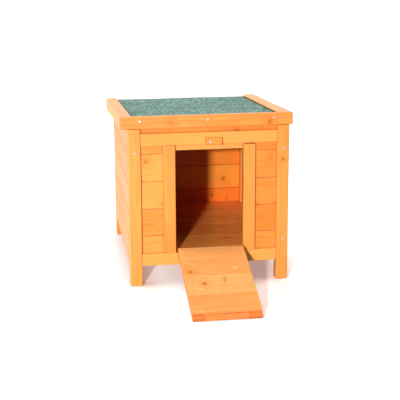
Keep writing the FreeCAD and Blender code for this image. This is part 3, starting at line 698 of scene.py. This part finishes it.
# STRIP_SHADE_TONE deepens the boards above the upper rail: painted shade under the fascia.
LOW_TONE, DOORWAY_TONE, STRIP_SHADE_TONE = 0.32, 0.05, 0.85
FRONT_TONES = {
    "left": (LOW_TONE, 0.56, 0.20, 0.16, 0.50), "right": (0.62, 0.88, 0.82, 0.78, 0.80)}
STOP_HEIGHT = 0.015
front_low, front_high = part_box("front_board_low")
left_low, left_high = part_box("front_board_left_1")
right_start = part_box("front_board_right_1")[0].x
front_wood = softwood("front_wall_softwood", HONEY, upright_knots(front_low.y, FRONT_KNOTS))
front_thick = left_high.y - front_low.y
front_middle = front_low.y + front_thick / 2
front_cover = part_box("front_board_left_2")[0].z - left_low.z
front_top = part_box("front_board_top")[1].z - ROOF_FALL * front_thick
front_sizes = {"Thickness": front_thick, "Cover": front_cover, "Timber": front_wood}
low_plank = next_plank()
top_plank = next_plank()
for side, start, end in (("left", front_low.x, left_high.x), ("right", right_start, front_high.x)):
    board_courses(
        f"front_{side}_boards", [f"front_board_{side}_{number}" for number in (1, 2, 3)],
        FRONT_TONES[side], [low_plank, next_plank(), next_plank(), next_plank(), top_plank],
        Matrix.Translation((start, front_middle, 0.0)), shaded_top_tone=STRIP_SHADE_TONE, grain_start=start,
        Run=end - start, Courses=COURSES, Base=front_low.z, High=front_top, **front_sizes)
doorway_start = left_high.x
doorway_place = Matrix.Translation((doorway_start, front_middle, 0.0))
front_sizes.update(Run=right_start - doorway_start, Courses=1)
board_courses(
    "front_low_board_middle", ["front_board_low"], (LOW_TONE,), (low_plank,), doorway_place,
    grain_start=doorway_start, Base=front_low.z, High=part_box("front_bottom_rail")[1].z,
    **front_sizes)
board_courses(
    "front_top_board_middle", ["front_board_top"], (DOORWAY_TONE,), (top_plank,), doorway_place,
    shaded_top_tone=STRIP_SHADE_TONE, grain_start=doorway_start, Base=front_low.z + (COURSES - 1) * front_cover,
    Low=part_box("front_upper_rail")[0].z - STOP_HEIGHT, High=front_top, **front_sizes)

# Rails and stiles on the front: planed softwood strips, level with the posts, nailed over the
# boards round the doorway. The right stile stops a little short of the left one's height.
TRIM_KNOT_CHANCE = 0.05
trim_wood = softwood("trim_softwood", HONEY, knots=TRIM_KNOT_CHANCE)
TRIMS = (("upper_rail", "x", 0.10), ("bottom_rail", "x", 0.14), ("stile_left", "z", 0.48),
         ("stile_right", "z", 0.45))
for strip, along, tone in TRIMS:
    timber(f"front_{strip}", "house", along, tone, trim_wood)

# Floor: four softwood boards across the house, a little redder and glossier than the walls, with
# eased arrises. They lie on two bearers along the side walls.
CABIN_HONEY = ((0.99, 0.40, 0.088), (0.98, 0.222, 0.036))
CABIN_TONES, BEARER_TONE = (0.45, 0.62, 0.50, 0.58), 0.5
CABIN_ARRIS = 0.0012
# Knots, and last a dark spot in the rear right corner at the rear post's foot.
CABIN_DARK_SPOTS = (
    (0.063, 0.109, 0.007, 1.0), (0.084, 0.310, 0.012, 0.75), (0.062, 0.312, 0.009, 0.6),
    (0.0615, 0.2137, 0.009, 0.5), (0.126, 0.244, 0.006, 0.7), (0.157, 0.466, 0.008, 0.9))
cabin_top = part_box("floor_board_1")[1].z
cabin_spots = [
    (Vector((house_middle + x, house_front + y, cabin_top)), size, dark)
    for x, y, size, dark in CABIN_DARK_SPOTS]
floor_wood = softwood(
    "floor_softwood", CABIN_HONEY, cabin_spots, gloss=0.7, polish=0.6, joint_shade=0.6, streaks=0.8)
for number, tone in enumerate(CABIN_TONES, 1):
    timber(f"floor_board_{number}", "house", "x", tone, floor_wood, CABIN_ARRIS)
for side in ("left", "right"):
    timber(f"floor_bearer_{side}", "house", "y", BEARER_TONE, floor_wood, CABIN_ARRIS)

# Roof lid: a softwood fascia and two rails, grooved for a panel, with a low rail under its rear
# edge. It leans with the fall of the roof, and the panel's underside is darkened with painted
# shade.
LID_LEAN = -ROOF_SLOPE
lid_turn = Matrix.Rotation(LID_LEAN, 3, "X")


def upright_box(node, lean):
    """A leaning node's box, measured with its lean taken out."""
    back = Matrix.Rotation(-lean, 3, "X")
    points = [back @ vertex.co for vertex in frame["nodes"][node].data.vertices]
    return [Vector(pick(point[k] for point in points) for k in range(3)) for pick in (min, max)]


ROOF_HONEY = ((0.98, 0.505, 0.136), (0.96, 0.272, 0.040))
# The lid rails' wood is paler than the roof's: painted light for their brightly lit tops.
RAIL_PAINTED_LIGHT_HONEY = ((0.98, 0.50, 0.21), (0.97, 0.34, 0.102))
ROOF_KNOT_CHANCE = 0.04
PANEL_ARRIS = 0.0008
FASCIA_KNOTS = ((-0.097, 0.46, 0.0058, 0.6), (0.148, 0.28, 0.0075, 0.9))
low, high = upright_box("lid_fascia", LID_LEAN)
fascia_spots = [
    (lid_turn @ Vector((house_middle + x, low.y, low.z + share * (high.z - low.z))), size, dark)
    for x, share, size, dark in FASCIA_KNOTS]
roof_wood = softwood("roof_softwood", ROOF_HONEY, fascia_spots, ROOF_KNOT_CHANCE)
rail_wood = softwood("roof_rail_softwood", RAIL_PAINTED_LIGHT_HONEY, knots=ROOF_KNOT_CHANCE, gloss=0.15)
LID_TIMBERS = (
    ("lid_fascia", "x", 0.75, roof_wood, POST_ARRIS, None),
    ("lid_rail_left", "y", 0.20, rail_wood, POST_ARRIS, None),
    ("lid_rail_right", "y", 0.25, rail_wood, POST_ARRIS, None),
    ("lid_rail_rear", "x", 0.40, roof_wood, PLANED_ARRIS, None),
    ("roof_panel", "y", 0.9, roof_wood, PANEL_ARRIS, -UNIT["Z"]),
)
for node, along, tone, wood, arris, inward in LID_TIMBERS:
    timber(node, "lid", along, tone, wood, arris, LID_LEAN, inward)

# Roofing felt: a mineral-faced sheet laid on the panel between the rails. It lies a little wavy,
# and coloured grit is bonded into its face, apart from a bare border of bitumen along each side.
GRIT_COLOURS = (
    (0.0, (0.034, 0.088, 0.067)), (0.5, (0.161, 0.305, 0.25)), (1.0, (0.47, 0.65, 0.575)))
BITUMEN = (0.018, 0.018, 0.014)
GRIT_SCALE, GRIT_WEIGHT, GRIT_STRENGTH, GRIT_DEPTH = 560.0, 0.55, 0.6, 0.0008
CLUMP_SCALE, CLUMP_WEIGHT, CLUMP_STRETCH = 290.0, 0.75, (1.0, 0.5, 1.0)
PATCH_SCALE, PATCH_WEIGHT, PATCH_MIDDLE = (14.0, 14.0, 14.0), 0.6, 0.50
BORDER_EDGE, BORDER_RAGGED, BORDER_MORE = (0.0058, 0.0042), 0.002, 0.0025
FELT_ROUGH, GRIT_ROUGH, FELT_GLOSS = 0.72, 0.2, 0.15
felt_low, felt_high = upright_box("roof_felt", LID_LEAN)
felt_material, tree = empty_material("mineral_felt")
calc = partial(math_node, tree)
felt_place = own_place(tree)
grit = add_node(tree, "TexVoronoi", {"Vector": felt_place, "Scale": GRIT_SCALE}).outputs
grit_chance = split(tree, "Color", grit["Color"])
clump_place = vector_node(tree, "MULTIPLY", felt_place, CLUMP_STRETCH)
clumps = add_node(tree, "TexVoronoi", {"Vector": clump_place, "Scale": CLUMP_SCALE}).outputs
clump_chance = split(tree, "Color", clumps["Color"])
patches = noise(tree, felt_place, PATCH_SCALE, detail=4.0, roughness=0.6)["Fac"]
felt_tone = calc("MULTIPLY", clump_chance[0], CLUMP_WEIGHT)
felt_tone = calc("MULTIPLY_ADD", grit_chance[0], GRIT_WEIGHT, felt_tone)
felt_tone = calc("ADD", felt_tone, calc("MULTIPLY_ADD", patches, PATCH_WEIGHT, -PATCH_MIDDLE))
felt_x = split(tree, "XYZ", felt_place)["X"]
from_left = calc("SUBTRACT", felt_x, felt_low.x)
from_right = calc("SUBTRACT", felt_high.x - BORDER_MORE, felt_x)
from_side = calc("MULTIPLY_ADD", patches, BORDER_RAGGED, calc("MINIMUM", from_left, from_right))
border = ease(tree, from_side, *BORDER_EDGE)
felt_bump = add_node(tree, "Bump", {
    "Strength": GRIT_STRENGTH, "Distance": GRIT_DEPTH,
    "Height": calc("SUBTRACT", 1.0, grit["Distance"])})
end_material(tree, {
    "Base Color": mix_colour(tree, border, colour_ramp(tree, felt_tone, GRIT_COLOURS), BITUMEN),
    "Roughness": calc("MULTIPLY_ADD", grit_chance[1], GRIT_ROUGH, FELT_ROUGH),
    "Normal": felt_bump.outputs[0], "Specular IOR Level": FELT_GLOSS})
FELT_ACROSS, FELT_ALONG = 56, 72
FELT_WAVE, FELT_WAVES = 0.0006, ((17.0, 5.0, 0.0), (-9.0, 23.0, 1.0))
felt_points = []
for top in (False, True):
    for j in range(FELT_ALONG + 1):
        for i in range(FELT_ACROSS + 1):
            x = felt_low.x + (felt_high.x - felt_low.x) * i / FELT_ACROSS
            y = felt_low.y + (felt_high.y - felt_low.y) * j / FELT_ALONG
            wave = FELT_WAVE * math.prod(math.sin(a * x + b * y + c) for a, b, c in FELT_WAVES)
            felt_points.append((x, y, felt_high.z - FELT_WAVE + wave if top else felt_low.z))
row = FELT_ACROSS + 1
layer = row * (FELT_ALONG + 1)
felt_faces = []
for j in range(FELT_ALONG):
    for i in range(FELT_ACROSS):
        at = j * row + i
        felt_faces.append([layer + at + step for step in (0, 1, 1 + row, row)])
        felt_faces.append([at + step for step in (0, row, 1 + row, 1)])
rim = list(range(row))
rim += [row * (j + 1) + FELT_ACROSS for j in range(FELT_ALONG)]
rim += [row * FELT_ALONG + i for i in range(FELT_ACROSS - 1, -1, -1)]
rim += [row * j for j in range(FELT_ALONG - 1, 0, -1)]
for at, after in zip(rim, rim[1:] + rim[:1]):
    felt_faces.append([at, after, layer + after, layer + at])
felt_mesh = bpy.data.meshes.new("roof_felt_sheet")
felt_mesh.from_pydata(felt_points, [], felt_faces)
felt_mesh.transform(Matrix.Rotation(LID_LEAN, 4, "X"))
felt_mesh.materials.append(felt_material)
add_piece("roof_felt_sheet", felt_mesh, "lid", ["roof_felt"])

# Ramp door: a softwood frame of two stiles and two rails under four tongued boards. It is folded
# down with its end on the floor, scuffed by paws, and the frame is outside when it is shut.
RAMP_HONEY = ((0.98, 0.58, 0.208), (0.97, 0.315, 0.067))
RAMP_FRAME_HONEY = ((0.98, 0.46, 0.127), (0.96, 0.228, 0.041))
RAMP_TONES = (0.52, 0.54, 0.40, 0.78)
RAMP_TOP, RAMP_FRAME_TOP = 0.0223, 0.0123
RAMP_KNOTS = (
    (-0.066, 0.108, 0.0062, 0.95), (-0.038, 0.157, 0.0062, 1.0), (0.014, 0.139, 0.003, 1.0),
    (0.0125, 0.149, 0.003, 1.0))
ramp_joint = joints["ramp_hinge"]
RAMP_LEAN = math.radians(ramp_joint["range_deg"][1])
ramp_turn = Matrix.Rotation(RAMP_LEAN, 3, "X")
ramp_place = Matrix.Translation(ramp_joint["pos_m"]) @ Matrix.Rotation(RAMP_LEAN, 4, "X")
ramp_spots = [
    (ramp_place @ Vector((x, RAMP_TOP, z)), size, dark) for x, z, size, dark in RAMP_KNOTS]
ramp_wood = softwood("ramp_softwood", RAMP_HONEY, ramp_spots, scuffs=0.5)
ramp_frame_wood = softwood("ramp_frame_softwood", RAMP_FRAME_HONEY)
RAMP_FRAME = (("stile_left", "z", 1.10), ("stile_right", "z", 1.10), ("rail_hinge", "x", 0.55),
              ("rail_floor", "x", 0.62))
for part, along, tone in RAMP_FRAME:
    timber(f"ramp_{part}", "ramp", along, tone, ramp_frame_wood, lean=RAMP_LEAN)
for number, tone in enumerate(RAMP_TONES, 1):
    timber(
        f"ramp_board_{number}", "ramp", "x", tone, ramp_wood, BOARD_CHAMFER, RAMP_LEAN)

# Turn button: a small block of the trim's softwood with rounded arrises, on one screw over the
# doorway. It is turned down to hold the door shut.
BUTTON_TONE, BUTTON_ARRIS = 0.60, 0.0022
timber("turn_button", "button", "x", BUTTON_TONE, trim_wood, BUTTON_ARRIS)

# Hinges: zinc-plated steel butt hinges with pins, two under the ramp and two on the right wall
# under the lid. Their leaves and pins are the CAD model's own.
SPANGLE_SCALE, SPANGLE_ROUGH = 260.0, 0.14
GRIME_SCALE, GRIME_EDGE, GRIME_ROUGH = (120.0, 120.0, 120.0), (0.45, 0.75), 0.2


def plain_steel(name, clean, grimy, metallic, roughness):
    """Steel with a fine spangle and some grime."""
    material, tree = empty_material(name)
    place = own_place(tree)
    spangle = add_node(tree, "TexVoronoi", {"Vector": place, "Scale": SPANGLE_SCALE}).outputs
    chance = split(tree, "Color", spangle["Color"])[0]
    grime = noise(tree, place, GRIME_SCALE, detail=4.0, roughness=0.65)["Fac"]
    rough = math_node(tree, "MULTIPLY_ADD", grime, GRIME_ROUGH, roughness)
    end_material(tree, {
        "Base Color": mix_colour(tree, ease(tree, grime, *GRIME_EDGE), clean, grimy),
        "Metallic": metallic,
        "Roughness": math_node(tree, "MULTIPLY_ADD", chance, SPANGLE_ROUGH, rough)})
    return material


ZINC, GRIMY_ZINC = (0.48, 0.48, 0.45), (0.28, 0.26, 0.22)
zinc_steel = plain_steel("zinc_steel", ZINC, GRIMY_ZINC, metallic=0.8, roughness=0.22)
HINGE_NODES = ("ramp_hinge_fixed_leaves", "ramp_hinge_moving_leaves", "lid_hinge_fixed_leaves",
               "lid_hinge_moving_leaves", "hinge_pins")
for node in HINGE_NODES:
    for slot in frame["nodes"][node].material_slots:
        slot.material = zinc_steel

# Screws: zinc-plated steel with a cross recess in the head. Two hold each front post, three hold
# the fascia, one carries the turn button, and flush ones hold the hinge leaves.
CROWN_SHARE, SLOT_SHARE, SLOT_TALL = 0.86, 0.2, 1.3


def make_heads_tree():
    """The tree that sets a head, plain or with a cross recess, on each place, facing its way."""
    tree, given, identifiers = new_maker(
        "fixing_heads",
        {"Geometry": ["Places"], "Float": ["Radius", "Height"], "Int": ["Sides"], "Bool": ["Cross"],
         "Material": ["Steel"]},
        "Heads")
    calc = partial(math_node, tree)
    make = partial(geometry, tree)
    radius, height = given["Radius"], given["Height"]
    head = make("MeshCone", {
        "Vertices": given["Sides"], "Radius Top": calc("MULTIPLY", radius, CROWN_SHARE),
        "Radius Bottom": radius, "Depth": height})
    wide = calc("MULTIPLY", radius, SLOT_SHARE)
    tall = calc("MULTIPLY", height, SLOT_TALL)
    cross = add_node(tree, "JoinGeometry", family="GeometryNode")
    for size in (join(tree, X=radius, Y=wide, Z=tall), join(tree, X=wide, Y=radius, Z=tall)):
        tree.links.new(make("MeshCube", {"Size": size}), cross.inputs[0])
    raised = make("Transform", {"Geometry": cross.outputs[0], "Translation": join(tree, Z=height)})
    recessed = make("MeshBoolean", {"Mesh 1": head, "Mesh 2": raised}, operation="DIFFERENCE")
    choice = {"Switch": given["Cross"], "False": head, "True": recessed}
    chosen = make("Switch", choice, input_type="GEOMETRY")
    facing = make("InputNamedAttribute", {"Name": "facing"}, data_type="FLOAT_VECTOR")
    turned = add_node(
        tree, "AlignRotationToVector", {"Vector": facing}, "FunctionNode", axis="Z").outputs[0]
    heads = make("InstanceOnPoints", {
        "Points": given["Places"], "Instance": chosen, "Rotation": turned})
    real = make("RealizeInstances", {0: heads})
    steel = make("SetMaterial", {"Geometry": real, "Material": given["Steel"]})
    add_node(tree, "GroupOutput", {0: steel}, "Node")
    return tree, identifiers


heads_tree, head_inputs = make_heads_tree()


def fixing_heads(name, body, spots, sizes, nodes=()):
    """The heads of screws or nails, at places that face their own way, as one plain mesh."""
    points = bpy.data.meshes.new(f"{name}_places")
    points.from_pydata([place for place, way in spots], [], [])
    ways = [number for place, way in spots for number in way]
    write_values(points, "facing", ways, kind="FLOAT_VECTOR")
    add_piece(name, made_mesh(name, points, heads_tree, head_inputs, sizes), body, nodes)


FORWARD = -UNIT["Y"]
HEAD_RADIUS, HEAD_HEIGHT = 0.0032, 0.0012
ROUND_HEAD = {
    "Radius": HEAD_RADIUS, "Height": HEAD_HEIGHT, "Sides": 24, "Cross": True, "Steel": zinc_steel}
low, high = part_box("frame_screws")
post_screws = [
    (Vector((x, low.y + HEAD_HEIGHT, z)), FORWARD)
    for x in (low.x + HEAD_RADIUS, high.x - HEAD_RADIUS)
    for z in (low.z + HEAD_RADIUS, high.z - HEAD_RADIUS)]
fixing_heads("post_screw_heads", "house", post_screws, ROUND_HEAD, ["frame_screws"])
low, high = upright_box("lid_screws", LID_LEAN)
middle = (low + high) / 2
fascia_screws = [
    (lid_turn @ Vector((x, low.y + HEAD_HEIGHT, middle.z)), lid_turn @ FORWARD)
    for x in (low.x + HEAD_RADIUS, middle.x, high.x - HEAD_RADIUS)]
fixing_heads("fascia_screw_heads", "lid", fascia_screws, ROUND_HEAD, ["lid_screws"])
low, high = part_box("button_screw")
middle = (low + high) / 2
button_screws = [(Vector((middle.x, low.y + HEAD_HEIGHT, middle.z)), FORWARD)]
fixing_heads("button_screw_head", "house", button_screws, ROUND_HEAD, ["button_screw"])
LEAF_LONG, LEAF_THICK, LEAF_INSET = 0.040, 0.0012, 0.006
LEAF_SHARES = (0.22, 0.78)
FLUSH_SUNK = 0.0001
FLUSH_DEEP = LEAF_THICK - FLUSH_SUNK
FLUSH_HEAD = {"Radius": 0.0019, "Height": 0.00025, "Sides": 16, "Cross": True, "Steel": zinc_steel}


def along_leaves(low, high):
    """Where the screws stand along a pair of equal leaves."""
    return [start + share * LEAF_LONG for start in (low, high - LEAF_LONG) for share in LEAF_SHARES]


low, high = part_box("ramp_hinge_fixed_leaves")
wall_leaf_screws = [
    (Vector((x, high.y - FLUSH_DEEP, low.z + LEAF_INSET)), FORWARD)
    for x in along_leaves(low.x, high.x)]
low, high = upright_box("lid_hinge_fixed_leaves", LID_LEAN)
wall_leaf_screws += [
    (lid_turn @ Vector((low.x + FLUSH_DEEP, y, low.z + LEAF_INSET)), UNIT["X"])
    for y in along_leaves(low.y, high.y)]
fixing_heads("wall_leaf_screw_heads", "house", wall_leaf_screws, FLUSH_HEAD)
low, high = upright_box("lid_hinge_moving_leaves", LID_LEAN)
lid_leaf_screws = [
    (lid_turn @ Vector((low.x + LEAF_INSET, y, high.z - FLUSH_DEEP)), lid_turn @ -UNIT["Z"])
    for y in along_leaves(low.y, high.y)]
fixing_heads("lid_leaf_screw_heads", "lid", lid_leaf_screws, FLUSH_HEAD)
low, high = upright_box("ramp_hinge_moving_leaves", RAMP_LEAN)
ramp_leaf_screws = [
    (ramp_turn @ Vector((x, high.y - FLUSH_DEEP, high.z - LEAF_INSET)), ramp_turn @ FORWARD)
    for x in along_leaves(low.x, high.x)]
fixing_heads("ramp_leaf_screw_heads", "ramp", ramp_leaf_screws, FLUSH_HEAD)

# Brads: small dull steel nails, driven nearly flush, two through each end of a wall board into the
# posts and of a ramp board into the stiles. One brighter nail is driven into the ramp's floor rail.
DULL, RUSTY = (0.34, 0.24, 0.15), (0.22, 0.13, 0.07)
BRAD_HEIGHT, BRAD_SUNK, BRAD_INSET = 0.0004, 0.0002, 0.007
BRAD_SHARES = (0.25, 0.75)
NAIL_ACROSS, NAIL_ALONG = 0.039, 0.270
dull_steel = plain_steel("dull_steel", DULL, RUSTY, metallic=0.5, roughness=0.45)
BRAD_HEAD = {
    "Radius": 0.0011, "Height": BRAD_HEIGHT, "Sides": 10, "Cross": False, "Steel": dull_steel}
NAIL_HEAD = {
    "Radius": 0.0015, "Height": BRAD_HEIGHT, "Sides": 12, "Cross": False, "Steel": zinc_steel}


def brads_across(low, high, inset):
    """Where brads stand near the ends of a board across the house, on its rear or upper face."""
    return [
        Vector((x, high.y - BRAD_SUNK, low.z + share * (high.z - low.z)))
        for x in (low.x + inset, high.x - inset) for share in BRAD_SHARES]


wall_brads = []
for side, way in (("left", -UNIT["X"]), ("right", UNIT["X"])):
    for number in range(1, COURSES + 1):
        low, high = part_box(f"{side}_board_{number}")
        face_x = low.x + BRAD_SUNK if side == "left" else high.x - BRAD_SUNK
        top = high.z if number < COURSES else high.z - ROOF_FALL * (high.y - low.y)
        wall_brads += [
            (Vector((face_x, y, low.z + share * (top - low.z))), way)
            for y in (low.y + BRAD_INSET, high.y - BRAD_INSET) for share in BRAD_SHARES]
for number in range(1, COURSES + 1):
    spots = brads_across(*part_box(f"rear_board_{number}"), BRAD_INSET)
    wall_brads += [(place, UNIT["Y"]) for place in spots]
fixing_heads("wall_brad_heads", "house", wall_brads, BRAD_HEAD)
ramp_up = ramp_turn @ UNIT["Y"]
ramp_brads = []
for number in range(1, len(RAMP_TONES) + 1):
    spots = brads_across(*upright_box(f"ramp_board_{number}", RAMP_LEAN), 2 * BRAD_INSET)
    ramp_brads += [(ramp_turn @ place, ramp_up) for place in spots]
fixing_heads("ramp_brad_heads", "ramp", ramp_brads, BRAD_HEAD)
nail_place = ramp_place @ Vector((NAIL_ACROSS, RAMP_FRAME_TOP - BRAD_SUNK, NAIL_ALONG))
fixing_heads("ramp_end_nail_head", "ramp", [(nail_place, ramp_up)], NAIL_HEAD)
